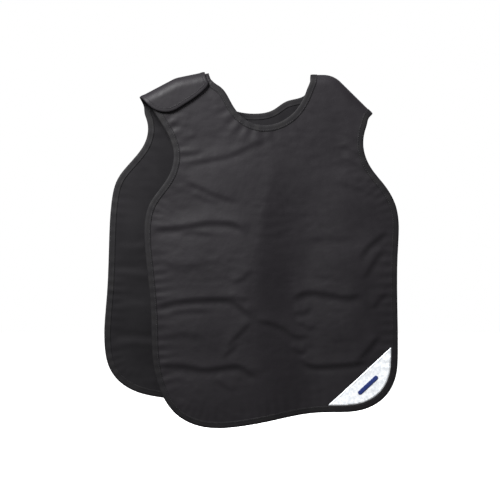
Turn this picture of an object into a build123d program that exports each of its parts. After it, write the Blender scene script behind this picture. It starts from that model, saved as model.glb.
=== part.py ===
"""Poncho-style lead apron, hanging by its shoulders.

A front panel and a back panel are joined over one shoulder by a sewn arch.
Over the other shoulder the back panel's strap folds to the front as a flap,
which a hook strip holds on the front panel's strap.
Frame: +Z up, the front faces -Y, the origin is midway along the shoulder rest.
Outlines are drawn in the X-Z plane. Millimetres.
"""

from math import atan2, cos, degrees, hypot, radians, sin
import os

from build123d import *

# ---------------------------------------------------------------- driving dimensions
# Layers of a panel, from its outer face inwards
cover_t = 0.5
shield_t = 1.0
lining_t = 0.5
panel_t = cover_t + 2 * shield_t + lining_t

# Edge binding, thread, label and fastening strips
binding_t = 0.6
binding_w = 12.0
seam_inset = 9.5
thread_t = 0.7
label_t = 0.5
label_gap = 1.0
emblem_t = 0.3
loop_t = 1.2
hook_t = 1.2
strip_length = 60.0
strip_width = 14.0

# Clearances: between pieces that move apart, and between curved pieces at rest
hinge_gap = 0.4
rest_gap = 0.1

# Depth of the garment, between the outer faces of its two panels
front_outer = -21.5
back_outer = 19.5

# Front panel
front_left = -210.0
front_right = 295.0
front_hem = -703.0
armpit_z = -262.0
neck_left = -78.0
neck_right = 123.0
neck_bottom = -101.0

# Back panel
back_left = -294.0
back_right = 248.0
back_hem = -668.0
back_neck_bottom = -74.0

# Crest of each shoulder, as seen from the front: neck end, bend, arm end
right_crest = [(neck_right, 3.0), (168.0, 3.0), (247.0, -75.0)]
left_crest = [(-222.0, -42.0), (-150.0, -4.0), (-92.0, 8.0)]
bend_r = 30.0

# Flap: how far it hangs below the left crest, and its row of stitches
flap_drop = 57.0
flap_seam_inset = 6.0

# Front strap's end, which passes over the left crest inside the back strap:
# how far past the crest, and how far in or out of the crest's two ends
strap_past_crest = 9.0
strap_arm_inset = 12.0
strap_neck_overhang = 8.0

# Corner label
label_width = 141.0
label_height = 118.0
label_seam_inset = 2.5
emblem_length = 52.0
emblem_width = 9.0

# ---------------------------------------------------------------- derived places
flap_outer = front_outer - loop_t - hinge_gap - hook_t - panel_t

right_arch_r = (back_outer - front_outer) / 2
right_arch_y = (back_outer + front_outer) / 2
left_arch_r = (back_outer - flap_outer) / 2
left_arch_y = (back_outer + flap_outer) / 2
strap_arch_r = left_arch_y - front_outer

layers = {
    "cover": (0, cover_t),
    "shield_outer": (cover_t, cover_t + shield_t),
    "shield_inner": (cover_t + shield_t, panel_t - lining_t),
    "lining": (panel_t - lining_t, panel_t),
}
arch_layers = {
    "cover": (0, cover_t),
    "shield": (cover_t, panel_t - lining_t),
    "lining": (panel_t - lining_t, panel_t),
}


def inset(crest, depth):
    """Move a three-point crest line down, square to its two runs."""
    (ax, az), (bx, bz), (cx, cz) = crest
    first = atan2(bz - az, bx - ax)
    second = atan2(cz - bz, cx - bx)
    n1 = (sin(first), -cos(first))
    n2 = (sin(second), -cos(second))
    share = depth / (1 + n1[0] * n2[0] + n1[1] * n2[1])
    return [
        (ax + n1[0] * depth, az + n1[1] * depth),
        (bx + (n1[0] + n2[0]) * share, bz + (n1[1] + n2[1]) * share),
        (cx + n2[0] * depth, cz + n2[1] * depth),
    ]


def lengthen(line, at_start, at_end):
    """Carry the end runs of a three-point line on by two lengths."""
    (ax, az), (bx, bz), (cx, cz) = line
    first = atan2(bz - az, bx - ax)
    second = atan2(cz - bz, cx - bx)
    start = (ax - cos(first) * at_start, az - sin(first) * at_start)
    end = (cx + cos(second) * at_end, cz + sin(second) * at_end)
    return [start, (bx, bz), end]


# Spring lines, where an arch's legs become a panel's flat straps
right_spring = inset(right_crest, right_arch_r)
left_spring = inset(left_crest, left_arch_r)
strap_crest = lengthen(left_crest, -strap_arm_inset, strap_neck_overhang)
strap_spring = inset(strap_crest, panel_t + binding_t + rest_gap + strap_arch_r)


def front_z(share):
    """Height at a share of the way from the front panel's armpits to its hem."""
    return armpit_z + share * (front_hem - armpit_z)


def back_z(share):
    """Height at a share of the way from the back panel's armpits to its hem."""
    return armpit_z + share * (back_hem - armpit_z)


# ---------------------------------------------------------------- outlines
with BuildSketch() as front_outline:
    with BuildLine():
        strap_corner = (strap_spring[2][0] - 6, strap_spring[2][1] + 24)
        Spline(
            strap_corner,
            strap_spring[2],
            (neck_left + 18, -24),
            (neck_left + 42, neck_bottom + 41),
            (neck_left + 68, neck_bottom + 12),
            ((neck_left + neck_right) / 2 + 9, neck_bottom),
            (neck_right - 42, neck_bottom + 19),
            (neck_right - 12, neck_bottom + 62),
            (neck_right, right_crest[0][1] + 8),
        )
        Line((neck_right, right_crest[0][1] + 8), (neck_right + 60, 60))
        Line((neck_right + 60, 60), (right_crest[2][0] + 24, right_crest[2][1] + 24))
        Spline(
            (right_crest[2][0] + 24, right_crest[2][1] + 24),
            right_crest[2],
            (right_crest[2][0] - 21, right_crest[2][1] - 68),
            (front_right - 55, armpit_z + 78),
            (front_right - 24, armpit_z + 38),
            (front_right - 4, armpit_z),
            (front_right, front_z(0.2)),
            (front_right - 1, front_z(0.45)),
            (front_right, front_z(0.68)),
            (front_right - 2, front_z(0.75)),
            (front_right - 22, front_z(0.855)),
            (front_right - 60, front_z(0.915)),
            (front_right - 145, front_z(0.935)),
            (front_right - 245, front_z(0.967)),
            (front_right - 330, front_hem),
            (front_left + 106, front_z(0.994)),
            (front_left + 64, front_z(0.945)),
            (front_left + 34, front_z(0.85)),
            (front_left + 20, front_z(0.75)),
            (front_left + 13, front_z(0.5)),
            (front_left + 3, front_z(0.25)),
            (front_left, front_z(0.08)),
            (front_left + 8, armpit_z),
            (front_left + 47, armpit_z + 58),
            (front_left + 58, armpit_z + 102),
            (front_left + 47, armpit_z + 142),
            (front_left + 24, armpit_z + 180),
            strap_spring[0],
            (strap_spring[0][0] - 14, strap_spring[0][1] + 26),
        )
        Line((strap_spring[0][0] - 14, strap_spring[0][1] + 26), (left_crest[1][0], 60))
        Line((left_crest[1][0], 60), strap_corner)
    make_face()

with BuildSketch() as back_outline:
    with BuildLine():
        Spline(
            (left_crest[2][0] + 4, left_crest[2][1] + 8),
            left_spring[2],
            (left_spring[2][0] + 18, back_neck_bottom + 30),
            (left_spring[2][0] + 48, back_neck_bottom + 9),
            (12, back_neck_bottom),
            (48, back_neck_bottom + 8),
            (neck_right - 49, back_neck_bottom + 25),
            (neck_right - 12, back_neck_bottom + 37),
            (neck_right, right_spring[0][1]),
            (neck_right + 2, right_crest[0][1] + 8),
        )
        Line((neck_right + 2, right_crest[0][1] + 8), (neck_right + 60, 60))
        Line((neck_right + 60, 60), (right_crest[2][0] + 20, right_crest[2][1] + 20))
        Spline(
            (right_crest[2][0] + 20, right_crest[2][1] + 20),
            right_spring[2],
            (back_right - 36, armpit_z + 116),
            (back_right - 30, armpit_z + 78),
            (back_right - 12, armpit_z + 42),
            (back_right, armpit_z - 4),
            (back_right - 4, back_z(0.4)),
            (back_right - 14, back_z(0.75)),
            (back_right - 36, back_z(0.88)),
            (back_right - 100, back_z(0.955)),
            (back_right - 200, back_hem),
            (back_right - 300, back_hem),
            (back_left + 126, back_z(0.958)),
            (back_left + 70, back_z(0.93)),
            (back_left + 30, back_z(0.875)),
            (back_left + 10, back_z(0.81)),
            (back_left, back_z(0.71)),
            (back_left + 4, back_z(0.45)),
            (back_left + 9, back_z(0.15)),
            (back_left + 14, armpit_z + 12),
            (back_left + 24, armpit_z + 52),
            (back_left + 56, armpit_z + 94),
            (back_left + 84, armpit_z + 136),
            (back_left + 87, armpit_z + 168),
            (left_crest[0][0] + 4, left_crest[0][1] - 20),
            (left_crest[0][0] - 2, left_crest[0][1] + 6),
        )
        Line((left_crest[0][0] - 2, left_crest[0][1] + 6), (left_crest[1][0], 60))
        Line((left_crest[1][0], 60), (left_crest[2][0] + 4, left_crest[2][1] + 8))
    make_face()

chord = atan2(left_crest[2][1] - left_crest[0][1], left_crest[2][0] - left_crest[0][0])
chord_length = hypot(left_crest[2][0] - left_crest[0][0], left_crest[2][1] - left_crest[0][1])


def from_chord(share, drop):
    """A point at a share of the left crest's chord, dropped square to it."""
    along = share * chord_length
    x = left_crest[0][0] + along * cos(chord) + drop * sin(chord)
    z = left_crest[0][1] + along * sin(chord) - drop * cos(chord)
    return (x, z)


# The flap's free edge; its top runs past the crest, where the arch ends it
with BuildSketch() as flap_outline:
    with BuildLine():
        Spline(
            from_chord(-0.01, 0),
            from_chord(0.05, 0.28 * flap_drop),
            from_chord(0.17, 0.70 * flap_drop),
            from_chord(0.34, 0.90 * flap_drop),
            from_chord(0.53, 0.86 * flap_drop),
            from_chord(0.81, 0.70 * flap_drop),
            from_chord(1.02, 0.48 * flap_drop),
        )
        Polyline(
            from_chord(1.02, 0.48 * flap_drop),
            from_chord(1.02, -bend_r),
            from_chord(-0.01, -bend_r),
            from_chord(-0.01, 0),
        )
    make_face()

with BuildSketch() as strip_outline:
    with Locations(from_chord(0.5, left_arch_r + strip_width / 2 - 1)):
        Rectangle(strip_length, strip_width, rotation=degrees(chord))

FAR = 900
SPLINE_STEP = 9


def grown(outline, amount):
    """An outline grown or shrunk all round, its curved edges redrawn as splines."""
    with BuildSketch() as raw:
        add(outline)
        offset(amount=amount)
    with BuildSketch() as redrawn:
        with BuildLine():
            for edge in raw.sketch.edges():
                if edge.geom_type in (GeomType.LINE, GeomType.CIRCLE):
                    add(edge)
                else:
                    steps = max(3, round(edge.length / SPLINE_STEP))
                    points = [edge @ (step / steps) for step in range(steps + 1)]
                    Spline(*points, tangents=(edge % 0, edge % 1))
        make_face()
    return redrawn.sketch


def below(right_line, left_line):
    """A sketch of everything below two spring lines, carried on at their ends."""
    right_run = lengthen(right_line, 40, FAR)
    left_run = lengthen(left_line, FAR, 40)
    with BuildSketch() as region:
        with BuildLine():
            FilletPolyline(*right_run, radius=bend_r)
            Polyline(right_run[2], (FAR, -2 * FAR), (-FAR, -2 * FAR), left_run[0])
            FilletPolyline(*left_run, radius=bend_r)
            Polyline(left_run[2], (left_run[2][0], FAR), (right_run[0][0], FAR), right_run[0])
        make_face()
    return region.sketch


below_front = below(right_spring, strap_spring)
below_back = below(inset(right_crest, right_arch_r + hinge_gap), inset(left_crest, left_arch_r + hinge_gap))
below_flap = below(right_spring, left_spring)

label_low = front_z(0.908)
label_angle = degrees(atan2(label_height, label_width - binding_w - label_gap))
with BuildSketch() as label_outline:
    add(grown(front_outline.sketch, -binding_w - label_gap))
    with BuildLine():
        Polyline(
            (front_right - binding_w - label_gap, label_low + label_height),
            (front_right - label_width, label_low),
            (front_right - label_width, label_low - 60),
            (front_right + 60, label_low - 60),
            (front_right + 60, label_low + label_height),
            close=True,
        )
    make_face(mode=Mode.INTERSECT)

with BuildSketch() as emblem_outline:
    with Locations((front_right - 0.42 * label_width, label_low + 0.36 * label_height)):
        SlotOverall(emblem_length, emblem_width, rotation=label_angle)

# The region whose binding goes round the neck
with BuildSketch() as front_neck_region:
    with Locations(((neck_left + neck_right) / 2, neck_bottom / 2)):
        Rectangle(neck_right - neck_left + 3 * binding_w, -neck_bottom + 120)
with BuildSketch() as back_neck_region:
    with Locations(((left_spring[2][0] + neck_right) / 2, back_neck_bottom / 2)):
        Rectangle(neck_right - left_spring[2][0] + 70, -back_neck_bottom + 90)


# ---------------------------------------------------------------- shaping helpers
def slab(outline, outer, start, end, inward, grow=0, mode=Mode.ADD):
    """Extrude an outline between two depths behind an outer face, grown all round."""
    depths = sorted((outer + inward * start, outer + inward * end))
    with BuildSketch(Plane.XZ.offset(-depths[1])) as profile:
        add(grown(outline, grow) if grow else outline)
    extrude(profile.sketch, amount=depths[1] - depths[0], mode=mode)


def binding(outline, outer, inward):
    """Tape folded over a panel's edge: a channel that holds the panel's layers."""
    slab(outline, outer, -binding_t, panel_t + binding_t, inward, grow=binding_t)
    slab(outline, outer, -2 * binding_t, panel_t + 2 * binding_t, inward, grow=-binding_w, mode=Mode.SUBTRACT)
    slab(outline, outer, 0, panel_t, inward, mode=Mode.SUBTRACT)


def thread_line(outline, outer, inward, seam, region=None):
    """A raised line of stitches, at one inset from an outline's edge."""
    with BuildSketch() as line:
        add(grown(outline, -seam))
        add(grown(outline, -seam - thread_t), mode=Mode.SUBTRACT)
        if region:
            add(region, mode=Mode.INTERSECT)
    slab(line.sketch, outer, -thread_t, 0, inward)


def arch(line, centre_y, outer_r, inner_r, low=None, high=None, mode=Mode.ADD):
    """Half a tube along a spring line, kept between two offsets from its middle."""
    with BuildLine(Plane.XZ.offset(-centre_y)) as run:
        FilletPolyline(*line, radius=bend_r)
    across = Plane(origin=run.line @ 0, x_dir=(0, 1, 0), z_dir=run.line % 0)
    low = -outer_r if low is None else low
    high = outer_r if high is None else high
    with BuildSketch(across) as profile:
        Circle(outer_r)
        Circle(inner_r, mode=Mode.SUBTRACT)
        with Locations(((low + high) / 2, outer_r / 2)):
            Rectangle(high - low, outer_r, mode=Mode.INTERSECT)
    sweep(profile.sketch, path=run.line, mode=mode)


def shorten(line, keep, at_start):
    """The stretch of binding_w at one end of a spring line."""
    (ax, az), (bx, bz), (cx, cz) = line
    if at_start:
        angle = atan2(bz - az, bx - ax)
        return (ax, az), (ax + cos(angle) * keep, az + sin(angle) * keep)
    angle = atan2(cz - bz, cx - bx)
    return (cx - cos(angle) * keep, cz - sin(angle) * keep), (cx, cz)


def arch_binding(line, centre_y, outer_r, at_start, low=None):
    """Tape folded over one end of an arch."""
    start, end = shorten(line, binding_w, at_start)
    angle = degrees(atan2(end[1] - start[1], end[0] - start[0]))
    low = -outer_r - binding_t if low is None else low
    high = outer_r + binding_t
    begin = start if at_start else end
    turn = 1 if at_start else -1
    along = Vector(cos(radians(angle)), 0, sin(radians(angle))) * turn
    outside = Vector(begin[0], centre_y, begin[1]) - along * binding_t
    with BuildSketch(Plane(origin=outside, x_dir=(0, turn, 0), z_dir=along)) as tape:
        Circle(outer_r + binding_t)
        Circle(outer_r - panel_t - binding_t, mode=Mode.SUBTRACT)
        with Locations((turn * (low + high) / 2, high / 2)):
            Rectangle(high - low, high, mode=Mode.INTERSECT)
    extrude(tape.sketch, amount=binding_w + binding_t)
    with BuildSketch(Plane(origin=outside + along * binding_t, x_dir=(0, turn, 0), z_dir=along)) as layers_held:
        Circle(outer_r)
        Circle(outer_r - panel_t, mode=Mode.SUBTRACT)
    extrude(layers_held.sketch, amount=binding_w, mode=Mode.SUBTRACT)


os.makedirs("parts", exist_ok=True)


def save(piece, name):
    """Label a finished piece and write it under its node's name."""
    piece.part.label = name
    export_step(piece.part, f"parts/{name}.step")


# ---------------------------------------------------------------- front panel
for layer, (start, end) in layers.items():
    with BuildPart() as sheet:
        slab(front_outline.sketch, front_outer, start, end, 1)
        slab(below_front, front_outer, start, end, 1, mode=Mode.INTERSECT)
    save(sheet, f"front_{layer}")

with BuildPart() as front_side_binding:
    binding(front_outline.sketch, front_outer, 1)
    slab(below_front, front_outer, -3, panel_t + 3, 1, mode=Mode.INTERSECT)
    slab(front_neck_region.sketch, front_outer, -3, panel_t + 3, 1, mode=Mode.SUBTRACT)
save(front_side_binding, "front_side_binding")

with BuildPart() as front_neck_binding:
    binding(front_outline.sketch, front_outer, 1)
    slab(below_front, front_outer, -3, panel_t + 3, 1, mode=Mode.INTERSECT)
    slab(front_neck_region.sketch, front_outer, -3, panel_t + 3, 1, mode=Mode.INTERSECT)
save(front_neck_binding, "front_neck_binding")

with BuildPart() as front_binding_thread:
    thread_line(front_outline.sketch, front_outer - binding_t, 1, seam_inset, below_front)
save(front_binding_thread, "front_binding_thread")

with BuildPart() as corner_label:
    slab(label_outline.sketch, front_outer, -label_t, 0, 1)
save(corner_label, "corner_label")

with BuildPart() as label_emblem:
    slab(emblem_outline.sketch, front_outer, -label_t - emblem_t, -label_t, 1)
save(label_emblem, "label_emblem")

with BuildPart() as label_thread:
    thread_line(label_outline.sketch, front_outer - label_t, 1, label_seam_inset)
save(label_thread, "label_thread")

with BuildPart() as loop_strip:
    slab(strip_outline.sketch, front_outer, -loop_t, 0, 1)
save(loop_strip, "loop_strip")

# ---------------------------------------------------------------- shoulders
for layer, (start, end) in arch_layers.items():
    with BuildPart() as sheet:
        arch(right_spring, right_arch_y, right_arch_r - start, right_arch_r - end)
    save(sheet, f"right_shoulder_{layer}")

    with BuildPart() as sheet:
        arch(left_spring, left_arch_y, left_arch_r - start, left_arch_r - end, low=0)
    save(sheet, f"left_shoulder_{layer}")

    with BuildPart() as sheet:
        arch(strap_spring, left_arch_y, strap_arch_r - start, strap_arch_r - end, high=strap_past_crest)
    save(sheet, f"front_strap_end_{layer}")

for edge, at_start in (("neck", True), ("arm", False)):
    with BuildPart() as tape:
        arch_binding(right_spring, right_arch_y, right_arch_r, at_start)
    save(tape, f"right_shoulder_{edge}_binding")

for edge, at_start in (("arm", True), ("neck", False)):
    with BuildPart() as tape:
        arch_binding(left_spring, left_arch_y, left_arch_r, at_start, low=0)
    save(tape, f"left_shoulder_{edge}_binding")

# ---------------------------------------------------------------- back panel
for layer, (start, end) in layers.items():
    with BuildPart() as sheet:
        slab(back_outline.sketch, back_outer, start, end, -1)
        slab(below_back, back_outer, start, end, -1, mode=Mode.INTERSECT)
    save(sheet, f"back_{layer}")

with BuildPart() as back_side_binding:
    binding(back_outline.sketch, back_outer, -1)
    slab(below_back, back_outer, -3, panel_t + 3, -1, mode=Mode.INTERSECT)
    slab(back_neck_region.sketch, back_outer, -3, panel_t + 3, -1, mode=Mode.SUBTRACT)
save(back_side_binding, "back_side_binding")

with BuildPart() as back_neck_binding:
    binding(back_outline.sketch, back_outer, -1)
    slab(below_back, back_outer, -3, panel_t + 3, -1, mode=Mode.INTERSECT)
    slab(back_neck_region.sketch, back_outer, -3, panel_t + 3, -1, mode=Mode.INTERSECT)
save(back_neck_binding, "back_neck_binding")

with BuildPart() as back_binding_thread:
    inner_tape_face = back_outer - panel_t - binding_t
    thread_line(back_outline.sketch, inner_tape_face, 1, seam_inset, below_back)
save(back_binding_thread, "back_binding_thread")

# ---------------------------------------------------------------- flap
for layer, (start, end) in arch_layers.items():
    with BuildPart() as sheet:
        arch(left_spring, left_arch_y, left_arch_r - start, left_arch_r - end, high=-hinge_gap)
        with BuildPart(mode=Mode.PRIVATE) as flat:
            slab(flap_outline.sketch, flap_outer, start, end, 1)
            slab(below_flap, flap_outer, start, end, 1, mode=Mode.INTERSECT)
        add(flat.part)
        slab(flap_outline.sketch, flap_outer, -3, 2 * left_arch_r, 1, mode=Mode.INTERSECT)
    save(sheet, f"flap_{layer}")

with BuildPart() as flap_thread:
    thread_line(flap_outline.sketch, flap_outer, 1, flap_seam_inset, below_flap)
save(flap_thread, "flap_thread")

with BuildPart() as hook_strip:
    slab(strip_outline.sketch, flap_outer, panel_t, panel_t + hook_t, 1)
save(hook_strip, "hook_strip")
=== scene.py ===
"""Poncho-style lead apron: draped panels, sewn shoulders, a hook-and-loop flap."""

from math import cos, hypot, pi, radians, sin, sqrt

import bmesh
import bpy
import numpy as np
from bpy.props import FloatProperty, FloatVectorProperty, PointerProperty, StringProperty
from mathutils import Matrix, Vector, noise


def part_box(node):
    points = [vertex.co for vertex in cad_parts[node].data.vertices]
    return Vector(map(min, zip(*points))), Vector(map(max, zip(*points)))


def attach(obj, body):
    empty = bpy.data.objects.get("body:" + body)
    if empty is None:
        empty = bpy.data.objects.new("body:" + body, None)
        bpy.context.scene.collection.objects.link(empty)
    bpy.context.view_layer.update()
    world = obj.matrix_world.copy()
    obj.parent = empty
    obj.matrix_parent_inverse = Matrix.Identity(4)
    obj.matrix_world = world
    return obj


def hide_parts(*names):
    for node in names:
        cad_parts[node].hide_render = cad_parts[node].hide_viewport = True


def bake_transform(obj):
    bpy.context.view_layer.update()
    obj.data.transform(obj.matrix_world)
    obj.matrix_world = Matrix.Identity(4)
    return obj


bl_info = {
    "name": "Lead Apron",
    "version": (1, 0, 0),
    "blender": (4, 5, 0),
    "location": "View3D > Sidebar > Apron",
    "description": "Builds a poncho-style lead apron on its packed frame",
    "category": "Object",
}

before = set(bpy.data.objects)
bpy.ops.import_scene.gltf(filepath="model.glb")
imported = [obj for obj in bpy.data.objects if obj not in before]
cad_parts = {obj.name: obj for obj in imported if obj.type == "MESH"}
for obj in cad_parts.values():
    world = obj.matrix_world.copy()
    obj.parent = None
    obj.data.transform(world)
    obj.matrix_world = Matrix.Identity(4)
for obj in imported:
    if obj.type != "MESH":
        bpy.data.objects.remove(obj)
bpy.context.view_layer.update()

MM = 0.001

# ------------------------------------------------------------------ places from the frame
FRONT_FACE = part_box("front_cover")[0][1]
BACK_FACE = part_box("back_cover")[1][1]
FLAP_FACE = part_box("flap_cover")[0][1]
PANEL_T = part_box("front_lining")[1][1] - FRONT_FACE
COVER_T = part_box("front_cover")[1][1] - FRONT_FACE
SHIELD_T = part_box("front_shield_outer")[1][1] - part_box("front_shield_outer")[0][1]
LINING_T = PANEL_T - COVER_T - 2 * SHIELD_T
TAPE_T = FRONT_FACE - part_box("front_side_binding")[0][1]
TAPE_W = 12 * MM

# Crest of each shoulder, as in the frame: neck end, bend and arm end, or the reverse
RIGHT_CREST = ((0.123, 0.003), (0.168, 0.003), (0.247, -0.075))
LEFT_CREST = ((-0.222, -0.042), (-0.150, -0.004), (-0.092, 0.008))
BEND_R = 30 * MM
STRAP_ARM_INSET = 12 * MM
STRAP_NECK_OVERHANG = 8 * MM
STRAP_PAST_CREST = 9 * MM
CRADLE_GAP = 0.7 * MM
LAYER_GAP = 0.35 * MM


# ------------------------------------------------------------------ flat shapes
def outline_of(node, side):
    """The outline, in X and Z, of a node's flat face that looks along side * Y."""
    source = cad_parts[node]
    sheet = bmesh.new()
    sheet.from_mesh(source.data)
    sheet.transform(source.matrix_world)
    bmesh.ops.remove_doubles(sheet, verts=sheet.verts, dist=0.01 * MM)
    sheet.normal_update()
    face_y = side * max(side * v.co.y for v in sheet.verts)
    away = [f for f in sheet.faces if any(abs(v.co.y - face_y) > 0.05 * MM for v in f.verts)]
    bmesh.ops.delete(sheet, geom=away, context="FACES")
    rim = [e for e in sheet.edges if e.is_boundary]
    loops = []
    left = set(rim)
    while left:
        edge = left.pop()
        start, here = edge.verts
        loop = [start, here]
        while here is not start:
            edge = next((e for e in here.link_edges if e in left), None)
            if edge is None:
                break
            left.discard(edge)
            here = edge.other_vert(here)
            loop.append(here)
        loops.append(np.array([(v.co.x, v.co.z) for v in loop[:-1]]))
    sheet.free()
    loop = max(loops, key=lambda points: abs(area_of(points)))
    return loop if area_of(loop) > 0 else loop[::-1]


def area_of(loop):
    """Signed area of a closed loop."""
    x, z = loop[:, 0], loop[:, 1]
    return 0.5 * float(np.sum(x * np.roll(z, -1) - np.roll(x, -1) * z))


def resampled(points, step, closed=False):
    """The same line with points at even steps."""
    line = np.vstack([points, points[:1]]) if closed else np.asarray(points)
    lengths = np.r_[0, np.cumsum(np.hypot(*np.diff(line, axis=0).T))]
    count = max(2, int(round(lengths[-1] / step)))
    marks = np.linspace(0, lengths[-1], count + 1)
    if closed:
        marks = marks[:-1]
    return np.c_[np.interp(marks, lengths, line[:, 0]), np.interp(marks, lengths, line[:, 1])]


def inside(points, loop):
    """Which points lie inside a closed loop."""
    hit = np.zeros(len(points), bool)
    for (ax, az), (bx, bz) in zip(loop, np.roll(loop, -1, axis=0)):
        if az == bz:
            continue
        spans = (points[:, 1] < az) != (points[:, 1] < bz)
        cross = ax + (points[:, 1] - az) * (bx - ax) / (bz - az)
        hit ^= spans & (points[:, 0] < cross)
    return hit


def nearest_on(points, line, closed=False):
    """For each point: distance to a line, distance along it, side of it and the foot."""
    line = np.asarray(line)
    starts = line if closed else line[:-1]
    ends = np.roll(line, -1, axis=0) if closed else line[1:]
    run = ends - starts
    lengths = np.hypot(run[:, 0], run[:, 1])
    along = np.r_[0, np.cumsum(lengths)]
    best = np.full(len(points), np.inf)
    where = np.zeros(len(points))
    side = np.zeros(len(points))
    foot = np.zeros((len(points), 2))
    for k in range(len(starts)):
        if lengths[k] < 1e-9:
            continue
        rel = points - starts[k]
        t = np.clip(rel @ run[k] / lengths[k] ** 2, 0, 1)
        touch = starts[k] + t[:, None] * run[k]
        dist = np.hypot(*(points - touch).T)
        closer = dist < best
        best[closer] = dist[closer]
        where[closer] = along[k] + t[closer] * lengths[k]
        side[closer] = np.sign(run[k][0] * rel[closer, 1] - run[k][1] * rel[closer, 0])
        foot[closer] = touch[closer]
    return best, where, side, foot


# ------------------------------------------------------------------ folds over the shoulders
class Shoulder:
    """A fold over one shoulder: flat below its spring line, a half tube above it."""

    def __init__(self, crest, drop, radius, centre_y, side):
        (ax, az), (bx, bz), (cx, cz) = crest
        first = np.array([bx - ax, bz - az]) / hypot(bx - ax, bz - az)
        second = np.array([cx - bx, cz - bz]) / hypot(cx - bx, cz - bz)
        n1 = np.array([first[1], -first[0]])
        n2 = np.array([second[1], -second[0]])
        share = drop / (1 + n1 @ n2)
        self.start = np.array([ax, az]) + n1 * drop
        middle = np.array([bx, bz]) + (n1 + n2) * share
        self.end = np.array([cx, cz]) + n2 * drop
        turn = sqrt((1 - first @ second) / (1 + first @ second))
        reach = BEND_R * turn
        bend = []
        for k in range(9):
            t = k / 8
            one = middle - first * reach * (1 - t)
            two = middle + second * reach * t
            bend.append(one * (1 - t) + two * t)
        self.up_start, self.up_end = -n1, -n2
        self.line = np.array([self.start, *bend, self.end])
        self.carried = np.array([self.start - first * 0.3, *bend, self.end + second * 0.3])
        self.radius, self.centre_y, self.side = radius, centre_y, side
        self.quarter = radius * pi / 2

    def above(self, points):
        """Height above the spring line, and the foot on it."""
        dist, where, side, foot = nearest_on(points, self.carried)
        return dist * side, foot

    def place(self, points, depth, drape):
        """Points on a layer this deep behind the outer face, in space."""
        height, foot = self.above(points)
        folds = drape(points) if drape else np.zeros(len(points))
        fade = smooth((-height - 4 * MM) / (60 * MM))
        y = np.full(len(points), self.centre_y + self.side * (self.radius - depth))
        y = y + self.side * folds * fade
        out = np.c_[points[:, 0], y, points[:, 1]]
        up = height > 0
        angle = np.clip(height[up] / self.radius, 0, pi)
        lift = (points[up] - foot[up]) / np.maximum(height[up], 1e-9)[:, None]
        ring = (self.radius - depth) * np.sin(angle)
        out[up, 0] = foot[up, 0] + lift[:, 0] * ring
        out[up, 2] = foot[up, 1] + lift[:, 1] * ring
        out[up, 1] = self.centre_y + self.side * (self.radius - depth) * np.cos(angle)
        return out


def smooth(t):
    """Ease from 0 to 1."""
    t = np.clip(t, 0, 1)
    return t * t * (3 - 2 * t)


class Panel:
    """A flat-cut piece of the garment and the folds that it hangs in."""

    def __init__(self, outline, shoulders, drape=None):
        self.outline = outline
        self.shoulders = shoulders
        self.drape = drape

    def place(self, points, depth=0.0):
        """Flat points put in space, on a layer this deep behind the outer face."""
        points = np.atleast_2d(points)
        if len(self.shoulders) == 1:
            return self.shoulders[0].place(points, depth, self.drape)
        left = self.shoulders[0].place(points, depth, self.drape)
        right = self.shoulders[1].place(points, depth, self.drape)
        middle = 0.02
        return np.where((points[:, 0] < middle)[:, None], left, right)


RIGHT_R = (BACK_FACE - FRONT_FACE) / 2
RIGHT_Y = (BACK_FACE + FRONT_FACE) / 2
LEFT_R = (BACK_FACE - FLAP_FACE) / 2
LEFT_Y = (BACK_FACE + FLAP_FACE) / 2
STRAP_R = LEFT_Y - FRONT_FACE


def carried(crest, at_start, at_end):
    """A crest line carried on by two lengths at its ends."""
    (ax, az), (bx, bz), (cx, cz) = crest
    one = hypot(bx - ax, bz - az)
    two = hypot(cx - bx, cz - bz)
    start = (ax - (bx - ax) / one * at_start, az - (bz - az) / one * at_start)
    end = (cx + (cx - bx) / two * at_end, cz + (cz - bz) / two * at_end)
    return (start, (bx, bz), end)


strap_crest = carried(LEFT_CREST, -STRAP_ARM_INSET, STRAP_NECK_OVERHANG)
front_right = Shoulder(RIGHT_CREST, RIGHT_R, RIGHT_R, RIGHT_Y, -1)
front_left = Shoulder(strap_crest, PANEL_T + CRADLE_GAP + STRAP_R, STRAP_R, LEFT_Y, -1)
back_right = Shoulder(RIGHT_CREST, RIGHT_R + 0.4 * MM, RIGHT_R, RIGHT_Y, 1)
back_left = Shoulder(LEFT_CREST, LEFT_R, LEFT_R, LEFT_Y, 1)
flap_fold = Shoulder(LEFT_CREST, LEFT_R, LEFT_R, LEFT_Y, -1)


def extended(loop, shoulder, length):
    """A panel's outline carried up over a shoulder by a length of cloth."""
    corners = []
    for corner in (shoulder.start, shoulder.end):
        corners.append(int(np.argmin(np.hypot(*(loop - corner).T))))
    size = len(loop)
    low, high = corners
    forward = np.array([loop[(low + k) % size] for k in range((high - low) % size + 1)])
    backward = np.array([loop[(high + k) % size] for k in range((low - high) % size + 1)])
    heights = [shoulder.above(path)[0].mean() for path in (forward, backward)]
    rest = (forward, backward)[int(np.argmin(heights))]
    to_start = np.hypot(*(rest[-1] - shoulder.start)) < np.hypot(*(rest[0] - shoulder.start))
    line = shoulder.line
    ups = np.linspace(0, 1, len(line))[:, None]
    lift = shoulder.up_start * (1 - ups) + shoulder.up_end * ups
    lift = lift / np.hypot(*lift.T)[:, None]
    over = line + lift * length
    over = over if to_start else over[::-1]
    return eased(np.vstack([rest, over]), (shoulder.start, shoulder.end))


def eased(loop, corners, reach=16 * MM):
    """The loop with the joins near these corners rounded off."""
    loop = resampled(loop, 3 * MM, closed=True)
    for _ in range(14):
        even = (np.roll(loop, 1, axis=0) + 2 * loop + np.roll(loop, -1, axis=0)) / 4
        for corner in corners:
            share = smooth((reach - np.hypot(*(loop - corner).T)) / (0.5 * reach))[:, None]
            loop = loop * (1 - share) + even * share
    return loop


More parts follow.
